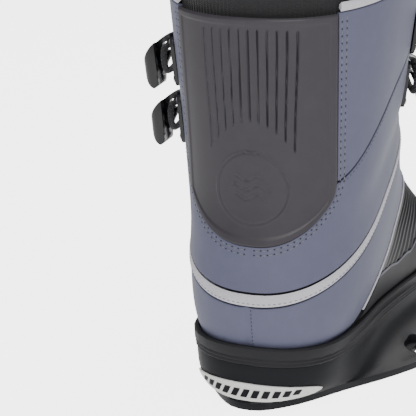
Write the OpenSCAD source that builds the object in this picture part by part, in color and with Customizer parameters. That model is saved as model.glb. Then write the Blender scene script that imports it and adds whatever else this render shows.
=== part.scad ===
// Wakeboard boot on a winged chassis.
// The upper is a loft: each station is a closed section in the plane that joins a back point to a front
// point, from the toe (station 0) over the heel and up the shaft to the collar and just past it.
// Every soft panel, trim and lining is a patch of that loft with its own inset and thickness.
// Axes: +Y to the toe, +X to the wearer's right, +Z up. Origin: on the board, midway between the slots.

/* [Boot] */
// Length of the upper, heel to toe
boot_len = 300; // [255:1:345]
// Height of the back of the collar above the board
collar_back_h = 250; // [220:1:295]
// Height of the front of the collar above the board
collar_front_h = 285; // [250:1:330]
// Depth of the shaft at the collar, back to front
shaft_depth = 175; // [150:1:205]
// Width of the shaft at the collar
shaft_w = 152; // [130:1:176]
// Width of the upper at the heel
heel_w = 116; // [102:1:132]
// Width of the upper at the ball of the foot
ball_w = 120; // [104:1:142]

/* [Upper] */
// Thickness of the outer panels
panel_t = 3; // [2.4:0.1:3.6]
// Thickness of the padded lining
lining_t = 7; // [5:0.5:8.5]
// Thickness of the tongue
tongue_t = 7; // [5:0.5:8.5]
// Half the opening between the lace edges, in degrees of the section
throat_half = 18; // [14:1:21]
// How far the spine panel stands proud of the quarters
spine_proud = 1.2; // [0.6:0.1:2]
// How far the trims stand proud of the panels
trim_proud = 0.7; // [0.4:0.1:1.2]

/* [Sole and chassis] */
// Thickness of the chassis floor
chassis_floor_t = 8; // [6:0.5:10]
// Height of the chassis lip above the board
lip_h = 28.8; // [24:0.2:32]
// Height of the top of the rubber sole above the board
sole_top_h = 42; // [38:0.5:46]
// Thickness of the rubber floor under the foot
sole_floor_t = 9.5; // [7:0.5:12]
// Width across the two wings
wing_span = 198; // [188:1:222]
// Thickness of the wings at their edge
wing_edge_t = 5; // [4:0.5:6]
// Distance from the heel to the middle of the wings
wing_from_heel = 190; // [182:1:196]

/* [Board slots] */
// Distance between the two wings' slot lines
slot_span = 152.4; // [146:0.2:158]
// Distance between the two slots of one wing
slot_pitch = 101.6; // [92:0.2:108]
// End-to-end length of a slot
slot_len = 18; // [14:1:20]
// Width of a slot, for an M6 screw
slot_w = 6.6; // [6.4:0.1:7]
// Width of the washer pocket around a slot
pocket_w = 18; // [16:0.5:20]

/* [Lacing] */
// Diameter of the lace
lace_d = 4.4; // [3.6:0.1:5]
// Height of a lace hook
hook_h = 34; // [30:1:37]
// How far a hook stands out from the quarter
hook_reach = 24; // [20:0.5:27]
// Travel of the lace lock's button
button_travel = 3; // [2:0.5:3.5]

/* [Hidden] */
gap = 0.3;          // clearance between neighbouring panels
layer_gap = 1.1;    // clearance between the panels and what lies under them
sole_base = chassis_floor_t + gap + sole_floor_t;   // height of the underside of the upper
tiny = 0.001;

// Loft stations: back y, back z, front y, front z, half width, centre x, back and front squareness
L = boot_len;
shaft_y = shaft_depth / 175;
back_z = collar_back_h - sole_base;
front_z = collar_front_h - sole_base;
heel_half = heel_w / 2;
ball_half = ball_w / 2;
shaft_half = shaft_w / 2;
mid_half = (heel_half + shaft_half) / 2;
STATIONS = [
    [L, sole_base + 16, L, sole_base + 24, 10, -8, 2.6, 2.2],
    [L - 6, sole_base + 5, L - 6, sole_base + 42, ball_half - 26, -7, 2.8, 2.2],
    [L - 20, sole_base, L - 19, sole_base + 56, ball_half - 12, -5, 3, 2.3],
    [0.85 * L, sole_base, 0.86 * L, sole_base + 68, ball_half - 3, -3, 3, 2.3],
    [0.733 * L, sole_base, 0.767 * L, sole_base + 0.311 * front_z, ball_half, 0, 3, 2.3],
    [0.617 * L, sole_base, 0.697 * L, sole_base + 0.371 * front_z, ball_half - 3, 2, 3, 2.3],
    [0.5 * L, sole_base, 0.642 * L, sole_base + 0.431 * front_z, heel_half - 3, 2, 3, 2.4],
    [0.35 * L, sole_base, 188 * shaft_y, sole_base + 0.494 * front_z, heel_half - 3, 1, 2.9, 2.5],
    [0.183 * L, sole_base, 186 * shaft_y, sole_base + 0.551 * front_z, heel_half, 0, 2.8, 2.6],
    [12, sole_base + 10, 184 * shaft_y, sole_base + 0.603 * front_z, heel_half + 2.5, 0, 2.6, 2.8],
    [0, sole_base + 0.19 * back_z, 179 * shaft_y, sole_base + 0.648 * front_z, heel_half + 3, 0, 2.4, 2.9],
    [3, sole_base + 0.332 * back_z, 174 * shaft_y, sole_base + 0.693 * front_z, heel_half + 3.5, 0, 2.4, 2.9],
    [8, sole_base + 0.483 * back_z, 170 * shaft_y, sole_base + 0.75 * front_z, mid_half - 1, 0, 2.4, 2.9],
    [6, sole_base + 0.655 * back_z, 169 * shaft_y, sole_base + 0.82 * front_z, mid_half + 2, 0, 2.4, 2.9],
    [2, sole_base + 0.828 * back_z, 170 * shaft_y, sole_base + 0.906 * front_z, shaft_half - 3.5, 0, 2.4, 2.9],
    [-2, collar_back_h, shaft_depth - 2, collar_front_h, shaft_half, 0, 2.4, 2.9],
    [-6, collar_back_h + 25, shaft_depth + 5, collar_front_h + 25, shaft_half + 2, 0, 2.4, 2.9]
];
LAST = len(STATIONS) - 1;
collar_k = 15;      // station of the collar
throat_k = 4.3;     // station where the lace opening starts
lace_edge = 180 - throat_half;

// Catmull-Rom blend of four stations
function blend4(a, b, c, d, f) =
    0.5 * (2 * b + (c - a) * f + (2 * a - 5 * b + 4 * c - d) * f * f + (3 * b - a - 3 * c + d) * f * f * f);
function station(k) =
    let (i = min(floor(k), LAST - 1), f = k - i)
    blend4(STATIONS[max(i - 1, 0)], STATIONS[i], STATIONS[i + 1], STATIONS[min(i + 2, LAST)], f);
function signed_pow(x, p) = sign(x) * pow(abs(x), p);
function mix(a, b, t) = a + (b - a) * t;
function ease(t) = let (c = min(max(t, 0), 1)) c * c * (3 - 2 * c);
function squareness(s, a) = mix(s[6], s[7], (1 - cos(a)) / 2);

// Point of the loft at station k and section angle a (0 at the back or sole, 180 at the front), pushed out
function loft(k, a, out = 0) =
    let (
        s = station(k),
        back = [s[0], s[1]],
        front = [s[2], s[3]],
        half = norm(front - back) / 2,
        dir = (front - back) / (2 * half),
        p = 2 / squareness(s, a),
        r = (half + out) * signed_pow(cos(a), p),
        mid = (back + front) / 2
    )
    [s[5] + (s[4] + out) * signed_pow(sin(a), p), mid[0] - dir[0] * r, mid[1] - dir[1] * r];

// Section angle at which station k crosses height z, refined from a first guess
function angle_at(k, z, a = 60, n = 6) =
    n == 0 ? a :
    let (
        s = station(k),
        half = norm([s[2] - s[0], s[3] - s[1]]) / 2,
        rise = ((s[1] + s[3]) / 2 - z) / ((s[3] - s[1]) / 2),
        c = min(max(rise, -1), 1)
    )
    angle_at(k, z, acos(signed_pow(c, squareness(s, a) / 2)), n - 1);
// Station at which the heel line crosses height z
function heel_k(z, lo = 8.6, hi = 11, n = 18) =
    n == 0 ? (lo + hi) / 2 :
    station((lo + hi) / 2)[1] < z ? heel_k(z, (lo + hi) / 2, hi, n - 1) : heel_k(z, lo, (lo + hi) / 2, n - 1);

// ---- patches of the loft ----
// Faces of a grid of rows by cols, front side up
function grid_faces(rows, cols, start, flip) = [
    for (i = [0:rows - 2], j = [0:cols - 2])
        let (a = start + i * cols + j, b = a + 1, c = a + cols + 1, d = a + cols)
        each flip ? [[a, b, c], [a, c, d]] : [[a, c, b], [a, d, c]]
];
function wall_faces(edge, shift, flip) = [
    for (i = [0:len(edge) - 2])
        let (a = edge[i], b = edge[i + 1])
        each flip ? [[a, b + shift, a + shift], [a, b, b + shift]] : [[a, a + shift, b + shift], [a, b + shift, b]]
];
// Solid patch: uv(s, t) gives [station, angle] for s along the boot and t round it, relief(s, t) its ribs
module patch(uv, rows, cols, inner, outer, relief = function (s, t) 0) {
    n = rows * cols;
    steps = [for (i = [0:rows - 1], j = [0:cols - 1]) [i / (rows - 1), j / (cols - 1)]];
    params = [for (q = steps) uv(q[0], q[1])];
    points = concat(
        [for (i = [0:n - 1]) loft(params[i][0], params[i][1], outer + relief(steps[i][0], steps[i][1]))],
        [for (q = params) loft(q[0], q[1], inner)]
    );
    first_row = [for (j = [0:cols - 1]) j];
    last_row = [for (j = [0:cols - 1]) (rows - 1) * cols + j];
    first_col = [for (i = [0:rows - 1]) i * cols];
    last_col = [for (i = [0:rows - 1]) i * cols + cols - 1];
    polyhedron(points, concat(
        grid_faces(rows, cols, 0, false),
        grid_faces(rows, cols, n, true),
        wall_faces(first_row, n, true),
        wall_faces(last_row, n, false),
        wall_faces(first_col, n, false),
        wall_faces(last_col, n, true)
    ), convexity = 10);
}
// Solid from closed rings of points with n points each, capped at both ends about a centre point
function centre_of(ring) = let (n = len(ring)) [for (c = [0:2]) [for (p = ring) p[c]] * [for (p = ring) 1] / n];
module ring_solid(rings) {
    n = len(rings[0]);
    m = len(rings);
    points = concat([for (r = rings) each r], [centre_of(rings[0]), centre_of(rings[m - 1])]);
    sides = [
        for (i = [0:m - 2], j = [0:n - 1])
            let (a = i * n + j, b = i * n + (j + 1) % n, c = b + n, d = a + n)
            each [[a, c, b], [a, d, c]]
    ];
    caps = [
        for (j = [0:n - 1])
            let (k = (j + 1) % n)
            each [[m * n, j, k], [m * n + 1, (m - 1) * n + k, (m - 1) * n + j]]
    ];
    polyhedron(points, concat(sides, caps), convexity = 10);
}
// Closed hoop of loft points at a station, or along a station that varies with the angle
function hoop(k_of, out, n) = [for (j = [0:n - 1]) let (a = 360 * (j + 0.5) / n) loft(k_of(a), a, out)];
// Half turn of a section angle, so that left and right share one curve
function fold(a) = a > 180 ? 360 - a : abs(a);

// ---- seam lines, as a station for each section angle ----
function front_seam(a) = mix(8.1, 6.3, ease((fold(a) - 65) / 70));
function heel_seam(a) = mix(10.2, 8.05, pow(min(fold(a), 162) / 162, 2.2));
heel_strip = 0.27;      // width of the heel trim, in stations
side_strip = 0.17;      // width of the side trims, in stations
seam_gap = 0.02;        // gap between panels, in stations
spine_low = 11.35;      // lowest point of the spine panel
spine_corner = 12.2;    // where the spine panel's sides become straight
spine_half_low = 43;    // half angle of the spine panel at its corners
spine_half_top = 38;    // half angle of the spine panel at the collar
yoke_top = 13.1;        // where the yoke seam runs out in front
edge_gap = 0.6;         // gap beside the spine panel, in degrees
function spine_edge(k) = mix(spine_half_low, spine_half_top, max(k - spine_corner, 0) / (collar_k - spine_corner));
function spine_bottom(t) = spine_corner - (spine_corner - spine_low) * sqrt(max(1 - t * t, 0));
function yoke_seam(a) =
    let (f = fold(a), start = spine_half_low)
    f < start ? spine_bottom(f / start) : mix(spine_corner, yoke_top, ease((f - start) / 60));
function round_a(t) = mix(-lace_edge, lace_edge, t);

// ---- upper ----
module toe_cap() color("#1b1c20") {
    n = 44;
    outside = [for (k = [0, 0.25, 0.6, 1, 1.5, 2, 2.7, 3.4, throat_k]) hoop(function (a) k, 0, n)];
    inside = [for (k = [throat_k, 3.4, 2.7, 2, 1.5, 1, 0.6, 0.35]) hoop(function (a) k, -panel_t, n)];
    ring_solid(concat(outside, inside));
}

module vamp() color("#202126")
    patch(function (s, t) let (a = round_a(t))
        [mix(throat_k + seam_gap, front_seam(a) - seam_gap, s), a], 10, 49, -panel_t, 0);

module heel_counter() color("#6d7384")
    patch(function (s, t) let (a = round_a(t))
        [mix(front_seam(a) + side_strip + seam_gap, heel_seam(a) - seam_gap, s), a], 9, 49, -panel_t, 0);

module quarter() color("#6d7384")
    patch(function (s, t) let (a = round_a(t))
        [mix(heel_seam(a) + heel_strip + seam_gap, yoke_seam(a) - seam_gap, s), a], 7, 49, -panel_t, 0);

module upper_quarter(side) color("#666c7c")
    patch(function (s, t) let (
            low = mix(spine_half_low + edge_gap, lace_edge, t),
            k = mix(yoke_seam(low) + seam_gap, collar_k, s),
            a = mix(spine_edge(k) + edge_gap, lace_edge, t)
        ) [k, side * a], 12, 19, side > 0 ? -panel_t : 0, side > 0 ? 0 : -panel_t);

module spine_panel() color("#3c3a42")
    patch(function (s, t) let (
            w = mix(-1, 1, t),
            k = mix(spine_bottom(w), collar_k, s)
        ) [k, w * spine_edge(k)], 16, 21, -panel_t, spine_proud);

module heel_trim() color("#a9a7b0")
    patch(function (s, t) let (a = round_a(t))
        [mix(heel_seam(a) + seam_gap, heel_seam(a) + heel_strip - seam_gap, s), a], 3, 61, -panel_t, trim_proud);

trim_start = 62;        // section angle at which the side trims come out of the sole
module side_trim(side) color("#a9a7b0")
    patch(function (s, t) let (a = mix(trim_start, lace_edge, t))
        [mix(front_seam(a) + seam_gap, front_seam(a) + side_strip - seam_gap, s), side * a],
        3, 19, side > 0 ? -panel_t : trim_proud, side > 0 ? trim_proud : -panel_t);

collar_trim_k = 0.2;    // height of the collar trim above the collar, in stations
module collar_trim(side) color("#b4b0b4")
    patch(function (s, t)
        [mix(collar_k + seam_gap, collar_k + collar_trim_k, s), side * mix(spine_half_top + edge_gap, lace_edge, t)],
        3, 19, side > 0 ? -panel_t : 0.4, side > 0 ? 0.4 : -panel_t);

// ---- lining, footbed and tongue ----
lining_open = 144;      // section angle of the lining's front edges
lining_toe_k = 0.75;
lining_top_k = 15.35;
lining_out = -panel_t - layer_gap;
lining_in = lining_out - lining_t;
module lining() color("#17171b") {
    n = 32;
    fore = [for (k = [lining_toe_k + 0.1, 1.3, 2, 3, throat_k - 0.2]) hoop(function (a) k, lining_out, n)];
    fore_in = [for (k = [throat_k - 0.2, 3, 2, 1.5]) hoop(function (a) k, lining_in, n)];
    resize([0, 0, 0]) union() {
        ring_solid(concat(fore, fore_in));
        patch(function (s, t) [mix(throat_k - 0.4, lining_top_k, s), mix(-lining_open, lining_open, t)],
            17, 27, lining_in, lining_out);
    }
}

foot_out = lining_in - layer_gap - 1.2;
footbed_t = 5;
module footbed() color("#2b4f6b")
    patch(function (s, t) [mix(2.2, 8.6, s), mix(-42, 42, t)], 12, 11, foot_out - footbed_t, foot_out);

tongue_half = 30;       // half angle of the tongue
tongue_low_k = 4.45;
tongue_top_k = 15.55;
tongue_out = -panel_t - 1.2;
module tongue() color("#1d1e23")
    patch(function (s, t) [mix(tongue_low_k, tongue_top_k, s), mix(180 - tongue_half, 180 + tongue_half, t)],
        26, 11, tongue_out - tongue_t, tongue_out);

guard_half = 12;
module tongue_guard() color("#2a2b31")
    patch(function (s, t) [mix(5.6, 13.4, s), mix(180 - guard_half, 180 + guard_half, t)],
        18, 7, tongue_out + 0.8, tongue_out + 2.4);

eyestay_in = trim_proud + 0.3;
eyestay_out = eyestay_in + 1.2;
module eyestay(side) color("#1c1d22")
    patch(function (s, t) [mix(throat_k + 0.15, 12.6, s), side * mix(lace_edge - 16, lace_edge - 0.5, t)],
        20, 5, side > 0 ? eyestay_in : eyestay_out, side > 0 ? eyestay_out : eyestay_in);

// ---- outline of the sole ----
rim_n = 72;
rim_out = 2.2;          // how far the chassis lip lies outside the slice of the upper
function rim_point(u) =
    let (
        s = u < 0.5 ? 2 * u : 2 - 2 * u,
        side = u < 0.5 ? 1 : -1,
        k = mix(0.05, heel_k(sole_top_h) - tiny, (1 - cos(180 * s)) / 2),
        p = loft(k, side * angle_at(k, sole_top_h))
    )
    [p[0], p[1]];
RIM = [for (i = [0:rim_n - 1]) rim_point((i + 0.5) / rim_n)];
// Outline pushed out by d along its own normals
function swell(ring, d) = [
    for (i = [0:len(ring) - 1])
        let (
            n = len(ring),
            t = ring[(i + 1) % n] - ring[(i + n - 1) % n],
            l = norm(t)
        )
        ring[i] + d * [-t[1], t[0]] / l
];
function at_z(ring, z) = [for (p = ring) [p[0], p[1], z]];
// Outline drawn in towards its middle, by shares of its width and length
function shrink(ring, across, along) = [for (p = ring) [across * p[0], 0.5 * L + along * (p[1] - 0.5 * L)]];
LIP = swell(RIM, rim_out);
PLUG = swell(RIM, -1.8);
BOARD = shrink(RIM, 0.52, 0.84);

// Width of the chassis base against the lip, by distance from the heel as a share of the length
BASE = [[-0.02, 0.5], [0.03, 0.56], [0.067, 0.68], [0.167, 0.92], [0.283, 1.33], [0.4, 1.68], [0.45, 1.75],
    [0.55, 1.79], [0.65, 1.75], [0.72, 1.66], [0.8, 1.5], [0.835, 1.44], [0.88, 1.2], [0.93, 0.98], [0.98, 0.86],
    [1.03, 0.8]];
function base_ratio(y) =
    let (r = lookup(y / L, BASE), grow = (wing_span / 2 - ball_half + 4) / (103 - ball_half))
    r > 1 ? 1 + (r - 1) * grow : r;
function base_point(p) = [p[0] * base_ratio(p[1]), p[1] + mix(-5, 0, ease(p[1] / (0.2 * L)))];
SMOOTH_BASE = [for (i = [0:rim_n - 1])
    (base_point(LIP[(i + rim_n - 1) % rim_n]) + 2 * base_point(LIP[i]) + base_point(LIP[(i + 1) % rim_n])) / 4];
// Chassis wall at outline point i and share t of the way from the lip to the edge of the base
function wall_point(i, t) =
    let (p = mix(LIP[i], SMOOTH_BASE[i], pow(t, 2.1)))
    [p[0], p[1], mix(lip_h, wing_edge_t, 1 - pow(1 - t, 1.7))];

screw_spots = [for (x = [-18, 18], y = [0.24 * L, 0.72 * L]) [x, y]];

module stadium(l, w, h) {
    translate([0, 0, h / 2]) cube([w, l - w, h], center = true);
    for (s = [-1, 1]) translate([0, s * (l - w) / 2, 0]) cylinder(h = h, d = w, $fn = 64);
}

module chassis() color("#141519") {
    steps = 8;
    difference() {
        ring_solid(concat(
            [at_z(shrink(RIM, 0.72, 0.91), chassis_floor_t)],
            [at_z(shrink(RIM, 0.8, 0.94), chassis_floor_t + 3)],
            [at_z(swell(RIM, -1.5), lip_h)],
            [for (s = [0:steps]) [for (i = [0:rim_n - 1]) wall_point(i, s / steps)]],
            [at_z(swell(SMOOTH_BASE, -0.8), 0)]
        ));
        for (x = [-1, 1], y = [-1, 1])
            translate([x * slot_span / 2, wing_from_heel + y * slot_pitch / 2, 0]) {
                translate([0, 0, -1]) stadium(slot_len, slot_w, 60);
                translate([0, 0, wing_edge_t - 0.6]) stadium(slot_len + pocket_w - slot_w, pocket_w, 60);
            }
        for (p = screw_spots) translate([p[0], p[1], 0]) {
            translate([0, 0, -1]) cylinder(h = chassis_floor_t + 2, d = 6.5, $fn = 48);
            translate([0, 0, -0.01]) cylinder(h = 4.2, d1 = 13.4, d2 = 6.4, $fn = 48);
        }
    }
}

// Crescent badge that stands on the heel wall of the chassis
badge_span = 5;         // half its length, in steps of the outline
function lens(t) = sqrt(max(1 - t * t, 0.02));
function badge_point(s, w, out) =
    let (
        u = rim_n / 2 - 0.5 + w * badge_span,
        i = floor(u),
        h = mix(0.52 - 0.2 * lens(w), 0.52 + 0.26 * lens(w), s),
        a = wall_point(i, h),
        b = wall_point(i + 1, h),
        l = norm([b[0] - a[0], b[1] - a[1]])
    )
    mix(a, b, u - i) + out * [(a[1] - b[1]) / l, (b[0] - a[0]) / l, -0.35];
module heel_inlay() color("#f2f2f0") {
    rows = 7;
    cols = 25;
    n = rows * cols;
    grid = [for (i = [0:rows - 1], j = [0:cols - 1]) [i / (rows - 1), mix(-1, 1, j / (cols - 1))]];
    polyhedron(concat(
        [for (g = grid) badge_point(g[0], g[1], 1.3)],
        [for (g = grid) badge_point(g[0], g[1], 0.35)]
    ), concat(
        grid_faces(rows, cols, 0, false),
        grid_faces(rows, cols, n, true),
        wall_faces([for (j = [0:cols - 1]) j], n, true),
        wall_faces([for (j = [0:cols - 1]) (rows - 1) * cols + j], n, false),
        wall_faces([for (i = [0:rows - 1]) i * cols], n, false),
        wall_faces([for (i = [0:rows - 1]) i * cols + cols - 1], n, true)
    ), convexity = 6);
}

board_z = chassis_floor_t + gap + 0.4;
board_t = 3;
nut_z = board_z + board_t + 0.1;
module mount_board() color("#8a6f4d")
    difference() {
        translate([0, 0, board_z]) linear_extrude(board_t) polygon(BOARD);
        for (p = screw_spots) translate([p[0], p[1], 0]) cylinder(h = 30, d = 8.6, $fn = 48);
    }

module tee_nuts() color("#b9bcc2")
    for (p = screw_spots) translate([p[0], p[1], 0]) difference() {
        union() {
            translate([0, 0, board_z + 0.2]) cylinder(h = board_t, d = 8.2, $fn = 48);
            translate([0, 0, nut_z]) cylinder(h = 1.2, d = 14.5, $fn = 48);
        }
        cylinder(h = 40, d = 6.1, $fn = 48);
    }

module chassis_screws() color("#c3c5ca")
    for (p = screw_spots) translate([p[0], p[1], 0]) {
        difference() {
            translate([0, 0, 0.4]) cylinder(h = 3.5, d1 = 12, d2 = 5.9, $fn = 48);
            translate([0, 0, -1]) cylinder(h = 3.6, d = 4, $fn = 6);
        }
        translate([0, 0, 3.8]) cylinder(h = nut_z - 2.8, d = 5.9, $fn = 48);
    }

module loft_solid(out) {
    n = 56;
    ring_solid([for (k = [0, 0.3, 0.65, 1, 1.5, 2, 2.6, 3.3, 4, 4.7, 5.4, 6.2, 7, 7.6, 8.2, 8.6, 9, 9.4, 9.8, 10.2, 10.6])
        hoop(function (a) k, out, n)]);
}

module outsole() color("#26262a") {
    flange = lip_h + gap;
    difference() {
        resize([0, 0, 0]) difference() {
            ring_solid(reversed([
                at_z(shrink(RIM, 0.705, 0.905), chassis_floor_t + gap),
                at_z(shrink(RIM, 0.785, 0.935), chassis_floor_t + gap + 3),
                at_z(PLUG, lip_h),
                at_z(PLUG, flange),
                at_z(swell(RIM, rim_out + 0.3), flange),
                at_z(swell(RIM, rim_out + 1), flange + 1.2),
                at_z(swell(RIM, rim_out + 0.5), flange + 2.4),
                at_z(swell(RIM, rim_out + 1.3), flange + 3.6),
                at_z(swell(RIM, rim_out + 0.8), flange + 4.8),
                at_z(swell(RIM, rim_out + 1.8), flange + 6),
                at_z(swell(RIM, rim_out + 2.1), sole_top_h - 1.2),
                at_z(swell(RIM, rim_out + 1.2), sole_top_h)
            ]));
            loft_solid(1.3);
        }
        translate([0, 0, chassis_floor_t]) linear_extrude(board_t + 2.4) polygon(swell(BOARD, 0.4));
    }
}

// ---- parts that sit square on the loft: x out of the surface, y round it to the front, z up it ----
function unit(v) = v / norm(v);
function seat(k, a, out) =
    let (
        p = loft(k, a, out),
        up = unit(loft(k + 0.12, a, out) - loft(k - 0.12, a, out)),
        round = unit(loft(k, a + 2, out) - loft(k, a - 2, out)),
        face = unit(cross(round, up)),
        side = cross(up, face)
    )
    [
        [face[0], side[0], up[0], p[0]],
        [face[1], side[1], up[1], p[1]],
        [face[2], side[2], up[2], p[2]],
        [0, 0, 0, 1]
    ];
// Point in a seat's own axes, as a point of the boot
function seated(m, v) = [for (i = [0:2]) m[i][0] * v[0] + m[i][1] * v[1] + m[i][2] * v[2] + m[i][3]];

// Lace loops: webbing tunnels along both lace edges
loop_ks = [4.95, 6.05, 7.25, 8.5, 9.8];
loop_a = lace_edge - 7;
loop_r = lace_d / 2 + 1;
loop_t = 1.3;
loop_len = 5;
module lace_loops(side) color("#131417")
    for (k = loop_ks) multmatrix(seat(k, side * loop_a, eyestay_out + 0.5)) translate([0, 0, -loop_len / 2])
        linear_extrude(loop_len) difference() {
            union() {
                translate([loop_r + 0.4, 0]) circle(r = loop_r + loop_t, $fn = 40);
                translate([0, -loop_r - 1.7]) square([loop_t, 2 * loop_r + 3.4]);
            }
            translate([loop_r + 0.4, 0]) circle(r = loop_r, $fn = 40);
            translate([-10, -20]) square([10, 40]);
        }
loop_mid = eyestay_out + 0.5 + loop_r + 0.4;

// Lace hooks: foot plate, neck to the front and outer lip in one moulding, open to the back and below.
// The lacing runs to the outside of the leg, so the left hooks sit further back than the right ones.
HOOKS = [[11.1, 130, 1], [13, 130, 1], [12.4, -78, -1], [13.55, -78, -1]];
hook_out = 2.1;
hook_w = 20;
hook_plate = 2.6;
hook_lace = 10;         // how far out the lace runs in the throat of a hook
neck_low = -5;
channel_z = 8;
rivet_y = -5.7;
LIP_SIDE = [[0, 0.5], [0.25, 0.49], [0.5, 0.42], [0.75, 0.28], [0.93, 0.1], [1, -0.08], [0.98, -0.25], [0.88, -0.42],
    [0.74, -0.5], [0.64, -0.46], [0.6, -0.32], [0.54, -0.16]];
// Closed outline through a few points, n steps between each pair
function smooth_loop(list, n) = [
    for (i = [0:len(list) - 1], j = [0:n - 1])
        let (m = len(list))
        blend4(list[(i + m - 1) % m], list[i], list[(i + 1) % m], list[(i + 2) % m], j / n)
];
module seat_at(spot, out) multmatrix(seat(spot[0], spot[1], out)) mirror([0, spot[2] < 0 ? 1 : 0, 0]) children();
module hook_shape() {
    r = hook_w / 2;
    difference() {
        intersection() {
            translate([0, 0, -hook_h]) linear_extrude(2 * hook_h) difference() {
                translate([hook_reach / 2, 0]) polygon([for (i = [0:39]) let (a = 9 * i)
                    [hook_reach / 2 * signed_pow(cos(a), 0.5), r * signed_pow(sin(a), 0.7)]]);
                translate([hook_plate + 6.3, -2]) polygon([for (i = [0:31]) let (a = 11.25 * i)
                    [6.4 * signed_pow(cos(a), 0.8), 6 * signed_pow(sin(a), 0.8)]]);
                translate([hook_plate - 0.1, -r - 1]) square([11.5, r - 1]);
            }
            rotate([90, 0, 0]) linear_extrude(2 * hook_w, center = true) polygon(concat(
                smooth_loop([for (p = LIP_SIDE) [p[0] * hook_reach, p[1] * hook_h]], 3),
                [[hook_plate + 1, neck_low], [0, neck_low]]
            ));
        }
        translate([hook_lace, 0, channel_z]) rotate([90, 0, 0]) cylinder(h = 60, r = 3.2, center = true, $fn = 40);
    }
}
module hook_foot()
    rotate([90, 0, 90]) linear_extrude(hook_plate) polygon([for (i = [0:47]) let (a = 7.5 * i)
        [hook_w / 2 * signed_pow(cos(a), 0.4), hook_h / 2 * signed_pow(sin(a), 0.4)]]);
module hooks(side) color("#101114")
    for (spot = HOOKS) if (spot[2] == side) seat_at(spot, hook_out) difference() {
        union() {
            hook_foot();
            hook_shape();
        }
        for (z = [-1, 1]) translate([-1, rivet_y, z * (hook_h / 2 - 5)]) rotate([0, 90, 0])
            cylinder(h = hook_plate + 3, d = 3.3, $fn = 32);
    }

module hook_rivets() color("#8e9198")
    for (spot = HOOKS, z = [-1, 1]) seat_at(spot, hook_out)
        translate([0, rivet_y, z * (hook_h / 2 - 5)]) rotate([0, 90, 0]) {
            translate([0, 0, 0.4]) cylinder(h = hook_plate, d = 3.1, $fn = 32);
            translate([0, 0, hook_plate + 0.1]) cylinder(h = 1.1, d1 = 6.4, d2 = 4.6, $fn = 32);
        }

// ---- lace: one run from the pull through the lock, hooks and loops to the toe, and back up again ----
lace_r = lace_d / 2;
lace_gap = 6.2;           // half the distance between the two laces in the lock
lock_w = 36;
lock_h = 18;
lock_deep = 13;
lock_lift = 0.6;
lock_mid = 6.5;         // depth of the laces in the lock
pull_w = 38;
pull_h = 14;
pull_deep = 10;
LOCK = seat(14.1, 180, lock_lift);
PULL = seat(15.1, 180, lock_lift);
function along(k1, a1, o1, k2, a2, o2, n) =
    [for (i = [1:n]) let (t = i / (n + 1)) loft(mix(k1, k2, t), mix(a1, a2, t), mix(o1, o2, t))];
// From one lace edge to the other, rising or dipping by lift at the middle
function crossing(k1, k2, side, lift) = [
    for (i = [0:6])
        let (t = i / 6)
        loft(mix(k1, k2, t), side * mix(loop_a + 5, 355 - loop_a, t), loop_mid + lift * pow(sin(180 * t), 2))
];
function loop_points(k, side) =
    [for (z = [-0.9, 0, 0.9]) seated(seat(k, side * loop_a, eyestay_out + 0.5), [loop_r + 0.4, 0, z * loop_len])];
// Round the neck of a hook, from below to above
function hook_points(spot) =
    let (m = seat(spot[0], spot[1], hook_out), low = neck_low - lace_r - 0.6, high = channel_z)
    [for (q = [[14, low - 0.5], [4, low], [-0.5, low], [-3.6, 0.6 * low], [-4, 0], [-3.6, 0.6 * high], [-0.5, high],
        [4, high], [14, high + 0.5]]) seated(m, [hook_lace, spot[2] * q[0], q[1]])];
function spot_of(side, i) = HOOKS[side > 0 ? i : i + 2];
// From the lowest loop on one side up to the lock; lift sets which strand rides over at the crossings
function strand(s, lift) =
    let (low = spot_of(-s, 0), high = spot_of(s, 1))
    concat(
        loop_points(loop_ks[0], s),
        crossing(loop_ks[0] + 0.4, loop_ks[1] - 0.42, s, lift),
        loop_points(loop_ks[1], -s),
        crossing(loop_ks[1] + 0.42, loop_ks[2] - 0.58, -s, lift),
        loop_points(loop_ks[2], s),
        crossing(loop_ks[2] + 0.5, loop_ks[3] - 0.5, s, lift),
        loop_points(loop_ks[3], -s),
        crossing(loop_ks[3] + 0.5, loop_ks[4] - 0.5, -s, lift),
        loop_points(loop_ks[4], s),
        crossing(loop_ks[4] + 0.6, loop_ks[4] + 1, s, lift),
        wrap_round(loop_ks[4] + 1, -s * (loop_a - 4), loop_mid, low, -1),
        hook_points(low),
        reversed(wrap_round(low[0] + 0.5, -s * (loop_a - 4), loop_mid + 1, low, 1)),
        crossing(low[0] + 0.55, high[0] - 0.65, -s, lift),
        wrap_round(high[0] - 0.6, s * (loop_a - 4), loop_mid + 1, high, -1),
        hook_points(high),
        reversed(wrap_round(13.75, s * (loop_a + 4), lock_mid, high, 1)),
        [for (z = [-1.3, -0.9, 0, 1]) seated(LOCK, [lock_mid, s * lace_gap, z * (lock_h / 2 + 1.5)])],
        [for (z = [-1, 0.2]) seated(PULL, [pull_deep / 2, s * lace_gap, z * (pull_h / 2 + 1)])]
    );
// Over the quarter from angle a to just in front of a hook's neck
function wrap_round(k, a, out, spot, up) =
    let (near = spot[1] + spot[2] * 12, n = max(2, round(abs(a - near) / 12)))
    [for (i = [1:n]) let (t = i / (n + 1))
        loft(mix(k, spot[0] + up * 0.22, t), mix(a, near, t), mix(out, hook_out + hook_lace, ease(t)))];
function reversed(list) = [for (i = [len(list) - 1:-1:0]) list[i]];
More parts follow.
